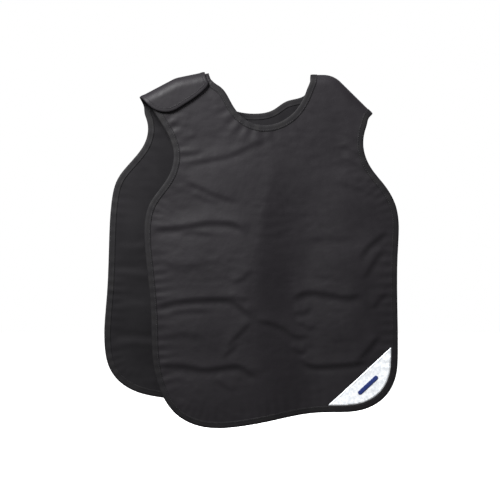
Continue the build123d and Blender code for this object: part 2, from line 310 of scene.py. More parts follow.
def cut_sheet(name, outline, step):
    """A flat mesh of near-square faces that fills an outline, in X and Z."""
    low, high = outline.min(axis=0), outline.max(axis=0)
    cells = np.ceil((high - low) / step).astype(int) + 2
    span = cells * step
    middle = (low + high) / 2
    sheet = bmesh.new()
    bmesh.ops.create_grid(sheet, x_segments=int(cells[0]), y_segments=int(cells[1]), size=0.5)
    for vert in sheet.verts:
        vert.co = (middle[0] + vert.co.x * span[0], middle[1] + vert.co.y * span[1], 0)
    centres = np.array([face.calc_center_median()[:2] for face in sheet.faces])
    keep = inside(centres, outline)
    outside = [face for face, kept in zip(list(sheet.faces), keep) if not kept]
    bmesh.ops.delete(sheet, geom=outside, context="FACES")
    rim = [v for v in sheet.verts if v.is_boundary]
    points = np.array([v.co[:2] for v in rim])
    foot = nearest_on(points, outline, closed=True)[3]
    for vert, place in zip(rim, foot):
        vert.co = (place[0], place[1], 0)
    near = {v for r in rim for e in r.link_edges for v in e.verts if not v.is_boundary}
    bmesh.ops.smooth_vert(sheet, verts=list(near), factor=0.5, use_axis_x=True, use_axis_y=True)
    bmesh.ops.smooth_vert(sheet, verts=list(near), factor=0.5, use_axis_x=True, use_axis_y=True)
    return sheet


def draped(name, panel, outline, depth, step, thickness, material):
    """A cloth or sheet laid over a panel's shape and given its thickness."""
    sheet = cut_sheet(name, outline, step)
    flat = np.array([v.co[:2] for v in sheet.verts])
    outer = panel.place(flat, depth)
    for vert, place in zip(sheet.verts, outer):
        vert.co = place
    bmesh.ops.recalc_face_normals(sheet, faces=sheet.faces)
    facing = sum(f.normal.y * f.calc_area() for f in sheet.faces)
    if facing * panel.shoulders[0].side < 0:
        bmesh.ops.reverse_faces(sheet, faces=sheet.faces)
    uv = sheet.loops.layers.uv.new("Cloth")
    place_of = {v: flat[i] for i, v in enumerate(sheet.verts)}
    for face in sheet.faces:
        for corner in face.loops:
            corner[uv].uv = place_of[corner.vert] * 1.0
    piece = finished(name, sheet, material)
    wall = piece.modifiers.new("Thickness", "SOLIDIFY")
    wall.thickness = thickness
    wall.offset = -1
    wall.use_rim = True
    return piece


def finished(name, shape, material):
    """Turn a bmesh into a smooth-shaded object with a material."""
    mesh = bpy.data.meshes.new(name)
    shape.to_mesh(mesh)
    shape.free()
    mesh.polygons.foreach_set("use_smooth", [True] * len(mesh.polygons))
    mesh.materials.append(material)
    piece = bpy.data.objects.new(name, mesh)
    bpy.context.scene.collection.objects.link(piece)
    return piece


# ------------------------------------------------------------------ folds in the cloth
def curve(points):
    """A smooth line through a few points given in millimetres."""
    points = np.array(points, float) * MM
    ends = np.vstack([2 * points[0] - points[1], points, 2 * points[-1] - points[-2]])
    line = []
    for k in range(1, len(ends) - 2):
        a, b, c, d = ends[k - 1:k + 3]
        for t in np.linspace(0, 1, 8, endpoint=False):
            line.append(0.5 * (2 * b + (c - a) * t + (2 * a - 5 * b + 4 * c - d) * t ** 2
                               + (3 * b - a - 3 * c + d) * t ** 3))
    line.append(points[-1])
    return np.array(line)


def crease(points, line, width, height):
    """A fold along a line, read left to right: a long slope above it, a steep drop and a
    hollow below, fading at both ends."""
    line = curve(line)
    reach = 4.5 * width * MM
    near = np.all((points > line.min(axis=0) - reach) & (points < line.max(axis=0) + reach), axis=1)
    out = np.zeros(len(points))
    if not near.any():
        return out
    dist, where, side, foot = nearest_on(points[near], line)
    total = float(np.sum(np.hypot(*np.diff(line, axis=0).T)))
    fade = smooth(np.minimum(where, total - where) / min(0.3 * total, 30 * MM))
    across = dist * side / (width * MM)
    crest = np.exp(-np.abs(across / np.where(across > 0, 2.2, 0.5)) ** 1.5)
    hollow = np.exp(-((across + 1.05) / 0.8) ** 2)
    out[near] = FOLD_STRENGTH * height * MM * fade * (crest - 0.4 * hollow)
    return out


def puckers(points, outline, pitch, height, reach):
    """Small gathers square to a bound edge, uneven along it."""
    dist, where, side, foot = nearest_on(points, resampled(outline, 8 * MM, closed=True), closed=True)
    wander = 0.9 * np.sin(where / (61 * MM)) + 0.7 * np.sin(where / (23 * MM) + 1.1)
    strength = 0.55 + 0.45 * np.sin(where / (83 * MM) + 0.6) * np.sin(where / (37 * MM))
    fade = np.exp(-(dist / reach) ** 2) * (0.3 + 0.7 * smooth((dist - 0.6 * TAPE_W) / (0.8 * TAPE_W)))
    ripple = np.cos(where / pitch * 2 * pi + wander)
    return height * strength * fade * (1.3 * smooth(0.5 + 0.5 * ripple) - 0.65)


def swell(points, x, z, across, down, height):
    """A broad smooth rise, or a hollow where its height is negative."""
    u = (points[:, 0] / MM - x) / across
    v = (points[:, 1] / MM - z) / down
    return height * MM * np.exp(-u ** 2 - v ** 2)


FOLD_STRENGTH = 0.72


def rumple(points, height, seed):
    """Fine uneven wrinkles that run mostly across the panel."""
    places = [(x / 0.052, z / 0.021, seed) for x, z in points]
    fine = [noise.noise(p) + 0.5 * noise.noise((2.3 * p[0], 2.1 * p[1], seed + 5.0)) for p in places]
    patch = [noise.noise((0.45 * p[0], 0.25 * p[1], seed + 9.0)) for p in places]
    share = 0.25 + 0.75 * smooth(0.5 + 2.2 * np.array(patch))
    return height * share * (0.5 - np.abs(np.array(fine)) * 2.0)


# Each crease: its line, its width and its height, all in millimetres
FRONT_CREASES = (
    (((-138, -176), (-90, -168), (-40, -158), (8, -136), (48, -124)), 8, 1.7),
    (((-134, -208), (-100, -222), (-66, -238), (-18, -252)), 9, 2.2),
    (((-120, -232), (-90, -246), (-60, -256)), 8, 1.4),
    (((-204, -306), (-141, -302), (-87, -293), (-47, -293), (-21, -301), (-4, -320)), 10, 3.4),
    (((-150, -318), (-110, -312), (-66, -318)), 9, 1.6),
    (((-196, -459), (-127, -448), (-47, -445), (-21, -458), (12, -488)), 10, 3.8),
    (((-170, -474), (-120, -468), (-70, -470)), 9, 1.6),
    (((-52, -546), (-30, -522), (-8, -500), (8, -488)), 7, 2.0),
    (((-46, -436), (-24, -444), (4, -446)), 8, 1.8),
    (((-40, -414), (-16, -404), (6, -384)), 8, 1.8),
    (((-60, -566), (-40, -548), (-20, -528)), 7, 1.6),
    (((-190, -582), (-141, -578), (-87, -585), (-27, -578), (0, -591), (22, -608)), 10, 3.6),
    (((-72, -604), (-52, -616), (-30, -634)), 8, 1.6),
    (((6, -486), (40, -493), (66, -503), (94, -521), (122, -517)), 9, 3.2),
    (((76, -447), (113, -432), (153, -435), (193, -441), (230, -434)), 11, 3.6),
    (((84, -470), (104, -474), (122, -462)), 8, 1.8),
    (((78, -538), (96, -550), (116, -552)), 8, 2.2),
    (((96, -556), (108, -570), (128, -580), (193, -576), (244, -570)), 9, 3.6),
    (((92, -492), (112, -500), (124, -512)), 7, 1.8),
    (((214, -374), (233, -343), (278, -306)), 9, 2.8),
    (((222, -414), (239, -381), (270, -338)), 9, 2.4),
    (((206, -572), (226, -555), (262, -512)), 9, 2.8),
    (((240, -470), (256, -448), (276, -430)), 8, 2.0),
    (((186, -92), (206, -100), (230, -112)), 7, 1.5),
    (((180, -112), (204, -122), (228, -130)), 7, 1.5),
    (((172, -134), (200, -146), (236, -166)), 8, 1.7),
    (((178, -160), (206, -174), (238, -192)), 8, 1.5),
    (((168, -208), (206, -222), (252, -238)), 9, 1.6),
    (((-80, -20), (-74, -44), (-60, -66)), 8, 1.2),
    (((-164, -92), (-140, -98), (-116, -96)), 8, 1.4),
    (((-156, -122), (-130, -124), (-100, -116)), 8, 1.4),
    (((-150, -150), (-122, -154), (-92, -148)), 8, 1.4),
    (((100, -330), (150, -322), (210, -328)), 12, 1.4),
    (((-180, -372), (-130, -380), (-80, -372)), 12, 1.4),
    (((-180, -520), (-130, -514), (-84, -522)), 12, 1.5),
)
BACK_CREASES = (
    (((-288, -389), (-240, -388), (-196, -392), (-120, -388)), 10, 3.0),
    (((-290, -529), (-230, -528), (-180, -530), (-100, -526)), 10, 3.4),
    (((-284, -460), (-240, -452), (-200, -458)), 9, 1.8),
    (((-276, -330), (-236, -336), (-204, -330)), 9, 1.6),
    (((60, -336), (110, -330), (180, -338), (240, -320)), 11, 3.0),
    (((90, -478), (170, -488), (232, -470)), 11, 3.0),
    (((80, -606), (150, -592), (226, -600)), 11, 2.8),
    (((-60, -206), (20, -232), (90, -214)), 11, 2.4),
    (((-210, -240), (-150, -262), (-90, -258)), 10, 2.4),
    (((-30, -470), (0, -452), (40, -430)), 10, 2.4),
    (((-120, -600), (-60, -590), (-6, -600)), 10, 2.6),
    (((-10, -330), (30, -342), (70, -336)), 9, 2.0),
    (((-160, -452), (-120, -444), (-60, -452)), 10, 2.2),
)
# Where the long ridge of the front lies at each height, in millimetres
RIDGE_Z = (-700, -600, -490, -420, -360, -300, -240, -160)
RIDGE_X = (24, 18, 10, 6, 12, 18, 30, 50)


def front_drape(points):
    """How far the front panel stands out from its flat plane."""
    x, z = points[:, 0] / MM, points[:, 1] / MM
    run = smooth((-120 - z) / 290)
    u = x - np.interp(z, RIDGE_Z, RIDGE_X)
    fall = np.interp(z, (-700, -400, -280, -160), (58, 50, 32, 18))
    out = 13 * MM * run * np.where(u < 0, np.exp(-(u / 135) ** 2), np.exp(-np.abs(u / fall) ** 1.7))
    out -= 5 * MM * run * np.exp(-((u - 92) / 42) ** 2)
    out += 3.5 * MM * run * np.exp(-((x - 205) / 48) ** 2)
    out += swell(points, -130, -375, 60, 62, 3.2)
    out += swell(points, -110, -518, 78, 52, 3.2)
    out += swell(points, -120, -650, 70, 40, 2.5)
    out += swell(points, 170, -380, 70, 46, 2.6)
    out += swell(points, 175, -510, 60, 52, 3.2)
    out += swell(points, 150, -260, 90, 70, 2.0)
    out += swell(points, -60, -200, 90, 46, 2.4)
    for line, width, height in FRONT_CREASES:
        out += crease(points, line, width, height)
    out += puckers(points, front_loop, 19 * MM, 1.25 * MM, 34 * MM)
    out += rumple(points, 0.42 * MM, 3.0)
    return np.clip(out, -8.5 * MM, 16 * MM)


def back_drape(points):
    """How far the back panel stands out, away from the front."""
    x, z = points[:, 0] / MM, points[:, 1] / MM
    run = smooth((-130 - z) / 430)
    out = 8 * MM * run * np.exp(-((x + 120) / 60) ** 2)
    out += 7 * MM * run * np.exp(-((x - 90) / 70) ** 2)
    out -= 3 * MM * run * np.exp(-((x + 20) / 45) ** 2)
    out += swell(points, 40, -280, 120, 90, 3.0)
    for line, width, height in BACK_CREASES:
        out += crease(points, line, width, height)
    out += puckers(points, back_loop, 20 * MM, 1.4 * MM, 34 * MM)
    out += rumple(points, 0.5 * MM, 17.0)
    return np.clip(out, -6.5 * MM, 10 * MM)


# ------------------------------------------------------------------ edges, tape and thread
def between(loop, a, b, longer):
    """The stretch of a closed loop from near one point to near another."""
    first = int(np.argmin(np.hypot(*(loop - a).T)))
    last = int(np.argmin(np.hypot(*(loop - b).T)))
    size = len(loop)
    one = np.array([loop[(first + k) % size] for k in range((last - first) % size + 1)])
    two = np.array([loop[(first - k) % size] for k in range((first - last) % size + 1)])
    lengths = [np.sum(np.hypot(*np.diff(path, axis=0).T)) for path in (one, two)]
    return (one, two)[int(np.argmax(lengths) if longer else np.argmin(lengths))]


def edge_frame(path, outline, step):
    """Even stations along an edge, and the way into the cloth at each."""
    path = resampled(path, step)
    run = np.gradient(path, axis=0)
    for _ in range(3):
        padded = np.vstack([run[:1], run, run[-1:]])
        run = (padded[:-2] + 2 * padded[1:-1] + padded[2:]) / 4
    run = run / np.hypot(*run.T)[:, None]
    inward = np.c_[-run[:, 1], run[:, 0]]
    votes = inside(path + inward * 6 * MM, outline)
    if votes.mean() < 0.5:
        inward = -inward
    return path, inward


def strip(name, rows, columns, place, material, closed=False):
    """A grid of rows by columns, put in space by one array of places, welded if it closes."""
    sheet = bmesh.new()
    bmesh.ops.create_grid(sheet, x_segments=rows - 1, y_segments=columns - 1, size=0.5)
    uv = sheet.loops.layers.uv.new("Cloth")
    spots = {}
    for vert in sheet.verts:
        i = int(round((vert.co.x + 0.5) * (rows - 1)))
        j = int(round((vert.co.y + 0.5) * (columns - 1)))
        spots[vert] = (i, j)
        vert.co = place[i, j]
    flat = np.cumsum(np.r_[0, np.linalg.norm(np.diff(place[:, 0], axis=0), axis=1)])
    wide = np.cumsum(np.r_[0, np.linalg.norm(np.diff(place[0], axis=0), axis=1)])
    for face in sheet.faces:
        for corner in face.loops:
            i, j = spots[corner.vert]
            corner[uv].uv = (flat[i], wide[j])
    if closed:
        bmesh.ops.remove_doubles(sheet, verts=sheet.verts, dist=0.005 * MM)
        ends = [e for e in sheet.edges if e.is_boundary]
        bmesh.ops.holes_fill(sheet, edges=ends, sides=0)
    bmesh.ops.recalc_face_normals(sheet, faces=sheet.faces)
    return finished(name, sheet, material)


def tape(name, panel, path, outline, material, width=TAPE_W, thick=TAPE_T, step=4 * MM):
    """Binding folded over an edge, following the cloth that it holds."""
    path, inward = edge_frame(path, outline, step)
    low, high = -thick, PANEL_T + thick
    crown = 0.35 * MM
    gap = 0.03 * MM
    middle = PANEL_T / 2
    section = (
        (width, -gap), (width, low * 0.8), (width - 0.6 * MM, low - crown), (width * 0.82, low * 0.8),
        (width * 0.5, low - crown), (1.2 * MM, low), (-0.2 * MM, low * 0.4),
        (-0.9 * MM, middle - 0.8 * MM), (-0.9 * MM, middle + 0.8 * MM), (-0.2 * MM, high - thick * 0.4),
        (1.2 * MM, high), (width * 0.5, high + crown), (width * 0.82, high - thick * 0.2),
        (width - 0.6 * MM, high + crown), (width, high - thick * 0.2),
        (width, PANEL_T + gap), (0.1 * MM, PANEL_T + gap), (0.1 * MM, -gap),
    )
    columns = []
    for across, depth in section + section[:1]:
        columns.append(panel.place(path + inward * across, depth))
    place = np.stack(columns, axis=1)
    return strip(name, len(path), len(section) + 1, place, material, closed=True)


def seam(name, panel, path, outline, inset, lift, material, pitch=3.4 * MM, thick=0.55 * MM):
    """A row of lockstitches at one inset from an edge, each stitch its own short thread."""
    path, inward = edge_frame(path, outline, pitch)
    line = panel.place(path + inward * inset, -lift)
    thread = bmesh.new()
    for a, b in zip(line[:-1], line[1:]):
        run = Vector(b - a)
        centre = Vector((a + b) / 2)
        turn = run.to_track_quat("X", "Z").to_matrix().to_4x4()
        turn.translation = centre
        scale = np.diag([run.length * 0.40, thick / 2, thick / 2, 1.0])
        matrix = turn @ Matrix(scale.tolist())
        bmesh.ops.create_uvsphere(thread, u_segments=6, v_segments=4, radius=1, matrix=matrix)
    return finished(name, thread, material)


# ------------------------------------------------------------------ cut pieces
front_flat = resampled(outline_of("front_cover", -1), 3 * MM, closed=True)
back_flat = resampled(outline_of("back_cover", 1), 3 * MM, closed=True)
flap_flat = resampled(outline_of("flap_cover", -1), 2 * MM, closed=True)
label_flat = resampled(outline_of("corner_label", -1), 2 * MM, closed=True)

RIGHT_OVER = RIGHT_R * pi
STRAP_OVER = front_left.quarter + STRAP_PAST_CREST
front_loop = extended(extended(front_flat, front_right, RIGHT_OVER), front_left, STRAP_OVER)
back_loop = extended(back_flat, back_left, back_left.quarter)
flap_loop = extended(flap_flat, flap_fold, flap_fold.quarter)

front_panel = Panel(front_loop, (front_left, front_right), front_drape)
back_panel = Panel(back_loop, (back_left, back_right), back_drape)
flap_panel = Panel(flap_loop, (flap_fold,))


def tops(shoulder, length):
    """The two corners of a strap carried up over a shoulder."""
    return shoulder.start + shoulder.up_start * length, shoulder.end + shoulder.up_end * length


# ------------------------------------------------------------------ finishes
def linear(code):
    """A linear colour from an sRGB hex code."""
    parts = [int(code[k:k + 2], 16) / 255 for k in (0, 2, 4)]
    return tuple(c / 12.92 if c <= 0.04045 else ((c + 0.055) / 1.055) ** 2.4 for c in parts) + (1.0,)


def add(tree, kind, settings=None, inputs=None):
    """Add a node with its settings, its values and its links."""
    made = tree.nodes.new(kind)
    for name, value in (settings or {}).items():
        setattr(made, name, value)
    for socket, value in (inputs or {}).items():
        if isinstance(value, bpy.types.NodeSocket):
            tree.links.new(value, made.inputs[socket])
        else:
            made.inputs[socket].default_value = value
    return made


def new_finish(name):
    """An empty material with its shader."""
    material = bpy.data.materials.new(name)
    material.use_nodes = True
    tree = material.node_tree
    return material, tree, tree.nodes["Principled BSDF"]


def blend_colours(tree, first, second, factor):
    """Two colours mixed by a pattern."""
    mix = add(tree, "ShaderNodeMix", {"data_type": "RGBA"}, {"Factor": factor})
    mix.inputs["A"].default_value = first
    mix.inputs["B"].default_value = second
    mix.inputs[6].default_value = first
    mix.inputs[7].default_value = second
    return mix.outputs[2]


def graded(tree, value, low, high):
    """A pattern's range stretched to 0 to 1."""
    spread = add(tree, "ShaderNodeMapRange", {"interpolation_type": "SMOOTHSTEP"},
                 {"Value": value, "From Min": low, "From Max": high})
    return spread.outputs["Result"]


def weave(tree, spacing):
    """Over and under of two sets of threads, this far apart, on the cloth's own map."""
    place = add(tree, "ShaderNodeUVMap", {"uv_map": "Cloth"})
    turns = 2 * pi / spacing / 20
    waves = []
    for direction in ("X", "Y"):
        wave = add(tree, "ShaderNodeTexWave", {"bands_direction": direction},
                   {"Vector": place.outputs["UV"], "Scale": turns, "Distortion": 0.4,
                    "Detail": 1.0, "Detail Scale": 0.5})
        waves.append(wave.outputs["Fac"])
    both = add(tree, "ShaderNodeMath", {"operation": "MULTIPLY"}, {0: waves[0], 1: waves[1]})
    return both.outputs["Value"]


def coated_nylon():
    """Calendered nylon with a polyurethane coat: a soft, slightly purple charcoal sheen that
    shifts over long folds, with a fine even weave. Its threads are 0.3 mm apart and are drawn
    2 mm apart, because anything finer can't show."""
    colours = bpy.context.scene.apron_colours
    material, tree, shader = new_finish("coated_nylon")
    place = add(tree, "ShaderNodeTexCoord")
    tone = add(tree, "ShaderNodeTexNoise", None,
               {"Vector": place.outputs["Object"], "Scale": 9.0, "Detail": 4.0, "Roughness": 0.55})
    scuffs = add(tree, "ShaderNodeTexNoise", None,
                 {"Vector": place.outputs["Object"], "Scale": 70.0, "Detail": 5.0, "Roughness": 0.6})
    worn = graded(tree, tone.outputs["Fac"], 0.35, 0.68)
    colour = blend_colours(tree, tuple(colours.nylon), tuple(colours.nylon_worn), worn)
    tree.links.new(colour, shader.inputs["Base Color"])
    gloss = add(tree, "ShaderNodeMapRange", None,
                {"Value": scuffs.outputs["Fac"], "From Min": 0.3, "From Max": 0.7,
                 "To Min": 0.5, "To Max": 0.62})
    tree.links.new(gloss.outputs["Result"], shader.inputs["Roughness"])
    crinkle = add(tree, "ShaderNodeTexNoise", None,
                  {"Vector": place.outputs["Object"], "Scale": 34.0, "Detail": 3.0, "Roughness": 0.5})
    dents = add(tree, "ShaderNodeBump", None,
                {"Height": crinkle.outputs["Fac"], "Strength": 0.5, "Distance": 1.6 * MM})
    threads = add(tree, "ShaderNodeBump", None,
                  {"Height": weave(tree, 2.0 * MM), "Strength": 0.22, "Distance": 0.12 * MM,
                   "Normal": dents.outputs["Normal"]})
    tree.links.new(threads.outputs["Normal"], shader.inputs["Normal"])
    shader.inputs["Specular IOR Level"].default_value = 0.2
    return material


def lining_nylon():
    """Uncoated woven nylon taffeta: a matt, slightly lighter inside with a plain weave, whose
    0.4 mm threads are drawn 2.4 mm apart so that they show."""
    colours = bpy.context.scene.apron_colours
    material, tree, shader = new_finish("lining_taffeta")
    place = add(tree, "ShaderNodeTexCoord")
    tone = add(tree, "ShaderNodeTexNoise", None,
               {"Vector": place.outputs["Object"], "Scale": 14.0, "Detail": 5.0})
    worn = graded(tree, tone.outputs["Fac"], 0.3, 0.7)
    colour = blend_colours(tree, tuple(colours.lining), tuple(colours.lining_worn), worn)
    tree.links.new(colour, shader.inputs["Base Color"])
    threads = add(tree, "ShaderNodeBump", None,
                  {"Height": weave(tree, 2.4 * MM), "Strength": 0.4, "Distance": 0.15 * MM})
    tree.links.new(threads.outputs["Normal"], shader.inputs["Normal"])
    shader.inputs["Roughness"].default_value = 0.8
    shader.inputs["Specular IOR Level"].default_value = 0.12
    return material


def lead_vinyl():
    """Lead-loaded vinyl sheet, calendered: a dense, matt blue-grey with a faint pebble grain of
    about 1 mm and darker clouding from the filler."""
    material, tree, shader = new_finish("lead_vinyl")
    place = add(tree, "ShaderNodeTexCoord")
    cloud = add(tree, "ShaderNodeTexNoise", None,
                {"Vector": place.outputs["Object"], "Scale": 25.0, "Detail": 4.0})
    grain = add(tree, "ShaderNodeTexVoronoi", None,
                {"Vector": place.outputs["Object"], "Scale": 900.0})
    colour = blend_colours(tree, linear("44474B"), linear("54575C"), cloud.outputs["Fac"])
    tree.links.new(colour, shader.inputs["Base Color"])
    pebbles = add(tree, "ShaderNodeBump", None,
                  {"Height": grain.outputs["Distance"], "Strength": 0.3, "Distance": 0.1 * MM})
    tree.links.new(pebbles.outputs["Normal"], shader.inputs["Normal"])
    shader.inputs["Roughness"].default_value = 0.62
    return material


def binding_tape():
    """Folded polyester grosgrain, woven in cross ribs: a darker, duller edge than the cover.
    Its 0.5 mm ribs are drawn 1.6 mm apart so that they show."""
    colours = bpy.context.scene.apron_colours
    material, tree, shader = new_finish("grosgrain_tape")
    place = add(tree, "ShaderNodeUVMap", {"uv_map": "Cloth"})
    rib = add(tree, "ShaderNodeTexWave", {"bands_direction": "X"},
              {"Vector": place.outputs["UV"], "Scale": 2 * pi / (1.6 * MM) / 20, "Distortion": 0.6,
               "Detail": 2.0})
    spot = add(tree, "ShaderNodeTexCoord")
    tone = add(tree, "ShaderNodeTexNoise", None,
               {"Vector": spot.outputs["Object"], "Scale": 40.0, "Detail": 4.0})
    worn = graded(tree, tone.outputs["Fac"], 0.4, 0.75)
    colour = blend_colours(tree, tuple(colours.binding), tuple(colours.binding_worn), worn)
    tree.links.new(colour, shader.inputs["Base Color"])
    ribs = add(tree, "ShaderNodeBump", None,
               {"Height": rib.outputs["Fac"], "Strength": 0.5, "Distance": 0.16 * MM})
    tree.links.new(ribs.outputs["Normal"], shader.inputs["Normal"])
    shader.inputs["Roughness"].default_value = 0.62
    shader.inputs["Specular IOR Level"].default_value = 0.16
    return material


def spun_thread(name, first, second):
    """Twisted polyester sewing thread: two close tones in a fine twist, with a soft gloss."""
    material, tree, shader = new_finish(name)
    place = add(tree, "ShaderNodeTexCoord")
    twist = add(tree, "ShaderNodeTexWave", {"bands_direction": "DIAGONAL"},
                {"Vector": place.outputs["Object"], "Scale": 2 * pi / (0.5 * MM) / 20,
                 "Distortion": 1.0})
    colour = blend_colours(tree, first, second, twist.outputs["Fac"])
    tree.links.new(colour, shader.inputs["Base Color"])
    ply = add(tree, "ShaderNodeBump", None,
              {"Height": twist.outputs["Fac"], "Strength": 0.5, "Distance": 0.08 * MM})
    tree.links.new(ply.outputs["Normal"], shader.inputs["Normal"])
    shader.inputs["Roughness"].default_value = 0.5
    shader.inputs["Specular IOR Level"].default_value = 0.3
    return material


def label_satin():
    """Woven polyester satin label: a cool pale grey with the mottling of crossed threads and a
    faint gloss. The 0.25 mm threads are drawn 2 mm apart so that they show."""
    colours = bpy.context.scene.apron_colours
    material, tree, shader = new_finish("woven_label")
    place = add(tree, "ShaderNodeTexCoord")
    fleck = add(tree, "ShaderNodeTexNoise", None,
                {"Vector": place.outputs["Object"], "Scale": 180.0, "Detail": 6.0, "Roughness": 0.7})
    worn = graded(tree, fleck.outputs["Fac"], 0.36, 0.64)
    colour = blend_colours(tree, tuple(colours.label_shade), tuple(colours.label), worn)
    tree.links.new(colour, shader.inputs["Base Color"])
    threads = add(tree, "ShaderNodeBump", None,
                  {"Height": weave(tree, 2.0 * MM), "Strength": 0.5, "Distance": 0.12 * MM})
    tree.links.new(threads.outputs["Normal"], shader.inputs["Normal"])
    shader.inputs["Roughness"].default_value = 0.48
    shader.inputs["Specular IOR Level"].default_value = 0.35
    return material


def embroidery():
    """Satin-stitch embroidery: close navy threads with a painted highlight, paler stripes where they
    would catch the light in fine lines.
    """
    colours = bpy.context.scene.apron_colours
    material, tree, shader = new_finish("navy_embroidery")
    place = add(tree, "ShaderNodeTexCoord")
    lay = add(tree, "ShaderNodeMapping", None,
              {"Vector": place.outputs["Object"], "Rotation": (0, radians(-37), 0)})
    stitch = add(tree, "ShaderNodeTexWave", {"bands_direction": "X"},
                 {"Vector": lay.outputs["Vector"], "Scale": 2 * pi / (1.2 * MM) / 20,
                  "Distortion": 0.8})
    deep = tuple(colours.emblem)
    # pale is a painted highlight: lighter navy stripes along the stitches, where the threads would
    # catch the light
    pale = tuple(min(1.0, 1.5 * c) for c in deep[:3]) + (1.0,)
    colour = blend_colours(tree, deep, pale, stitch.outputs["Fac"])
    tree.links.new(colour, shader.inputs["Base Color"])
    raised = add(tree, "ShaderNodeBump", None,
                 {"Height": stitch.outputs["Fac"], "Strength": 0.6, "Distance": 0.15 * MM})
    tree.links.new(raised.outputs["Normal"], shader.inputs["Normal"])
    shader.inputs["Roughness"].default_value = 0.42
    return material


def hook_and_loop(name, spacing, depth, shade):
    """Woven hook-and-loop tape: a pile of fine loops, or rows of stiff hooks, that looks almost
    black and never shines."""
    material, tree, shader = new_finish(name)
    place = add(tree, "ShaderNodeTexCoord")
    pile = add(tree, "ShaderNodeTexVoronoi", None,
               {"Vector": place.outputs["Object"], "Scale": 1 / spacing, "Randomness": 0.8})
    colour = blend_colours(tree, shade, tuple(1.8 * c for c in shade[:3]) + (1.0,),
                           pile.outputs["Distance"])
    tree.links.new(colour, shader.inputs["Base Color"])
    tufts = add(tree, "ShaderNodeBump", {"invert": True},
                {"Height": pile.outputs["Distance"], "Strength": 0.9, "Distance": depth})
    tree.links.new(tufts.outputs["Normal"], shader.inputs["Normal"])
    shader.inputs["Roughness"].default_value = 0.9
    shader.inputs["Sheen Weight"].default_value = 0.25
    return material


def painted_floor():
    """Matt white studio floor with the faintest roll marks."""
    material, tree, shader = new_finish("studio_floor")
    place = add(tree, "ShaderNodeTexCoord")
    marks = add(tree, "ShaderNodeTexNoise", None,
                {"Vector": place.outputs["Object"], "Scale": 6.0, "Detail": 2.0})
    colour = blend_colours(tree, linear("FDFDFD"), linear("FFFFFF"), marks.outputs["Fac"])
    tree.links.new(colour, shader.inputs["Base Color"])
    shader.inputs["Roughness"].default_value = 0.9
    return material


MAKERS = {
    "coated_nylon": coated_nylon,
    "lining_taffeta": lining_nylon,
    "lead_vinyl": lead_vinyl,
    "grosgrain_tape": binding_tape,
    "black_thread": lambda: spun_thread("black_thread", linear("1B1A1C"), linear("2C2A2E")),
    "grey_thread": lambda: spun_thread("grey_thread", linear("8E9298"), linear("B4B7BB")),
    "woven_label": label_satin,
    "navy_embroidery": embroidery,
    "loop_pile": lambda: hook_and_loop("loop_pile", 1.5 * MM, 0.5 * MM, linear("191819")),
    "hook_rows": lambda: hook_and_loop("hook_rows", 1.8 * MM, 0.7 * MM, linear("151416")),
    "studio_floor": painted_floor,
}


def finish_of(name):
    """The material of that name, made when it is first asked for."""
    return bpy.data.materials.get(name) or MAKERS[name]()


def over_right(piece):
    """Apply the placement of a piece of the front's cloth to its mesh."""
    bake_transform(piece)


def over_left(piece):
    """Apply the placement of a piece of the back's cloth to its mesh."""
    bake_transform(piece)


def over_crest(piece):
    """Apply the placement of a piece of the flap's cloth to its mesh."""
    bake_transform(piece)


def declared(outline):
    """Work out the area of the outline a sheet was cut to, and keep nothing of it."""
    abs(area_of(outline))


def layers(prefix, panel, outline, cloth, follow, replaced):
    """Cover, shields and lining of one panel, over each other in their own thicknesses."""
    plan = (
        ("cover", 0.0, COVER_T, cloth, "coated_nylon", "nylon_cover"),
        ("shields", COVER_T + LAYER_GAP, 2 * (SHIELD_T - LAYER_GAP), 1.25 * cloth, "lead_vinyl",
         "lead_vinyl"),
        ("lining", COVER_T + 2 * SHIELD_T, LINING_T, 1.25 * cloth, "lining_taffeta", "lining"),
    )
    for part, depth, thick, step, finish, slot in plan:
        piece = draped(f"{prefix}_{part}_cloth", panel, outline, depth, step, thick, finish_of(finish))
        follow(piece)
        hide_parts(*replaced[part])
        declared(outline)


def bound(name, panel, path, outline, follow, replaced):
    """One length of tape over an edge."""
    piece = tape(name, panel, path, outline, finish_of("grosgrain_tape"))
    follow(piece)
    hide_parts(*replaced)
    length = float(np.sum(np.hypot(*np.diff(path, axis=0).T)))
    return piece


def sewn(name, panel, paths, outline, inset, lift, finish, follow, replaced, pitch, thick):
    """Rows of stitches along several edges, joined as one piece."""
    thread = None
    for path in paths:
        row = seam(name, panel, path, outline, inset, lift, finish_of(finish), pitch, thick)
        if thread is None:
            thread = row
            continue
        both = bmesh.new()
        both.from_mesh(thread.data)
        both.from_mesh(row.data)
        both.to_mesh(thread.data)
        both.free()
        bpy.data.objects.remove(row)
    thread.data.polygons.foreach_set("use_smooth", [True] * len(thread.data.polygons))
    follow(thread)
    if replaced:
        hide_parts(*replaced)
    return thread


